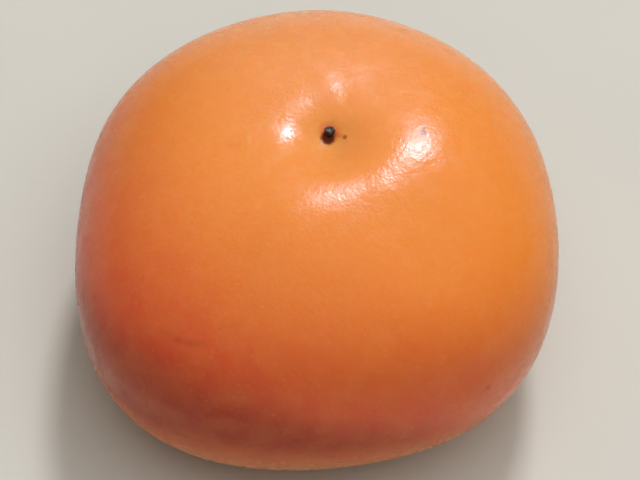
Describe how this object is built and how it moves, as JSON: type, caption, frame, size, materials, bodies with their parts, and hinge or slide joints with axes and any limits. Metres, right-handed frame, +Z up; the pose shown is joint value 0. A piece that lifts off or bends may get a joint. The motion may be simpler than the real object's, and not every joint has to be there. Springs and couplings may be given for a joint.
{
  "type": "persimmon fruit",
  "caption": "Squat orange persimmon with rounded corners and a dimpled crown, standing on the shoulders round its leafy calyx and cut stalk.",
  "frame": {"origin": "On the surface the fruit stands on, under the middle of its outline seen from above.", "axes": "+Z up from the stem end to the crown, which is the shortest way through the fruit. The four rounded corners point roughly along the diagonals of X and Y."},
  "size_m": [0.079, 0.0816, 0.0522],
  "materials": {
    "skin": "satin",
    "sepals": "matte",
    "stalk": "matte",
    "style": "satin"
  },
  "bodies": {
    "root": {"fruit": "skin", "calyx": "sepals", "stem_stub": "stalk", "style_tip": "style"}
  },
  "joints": []
}
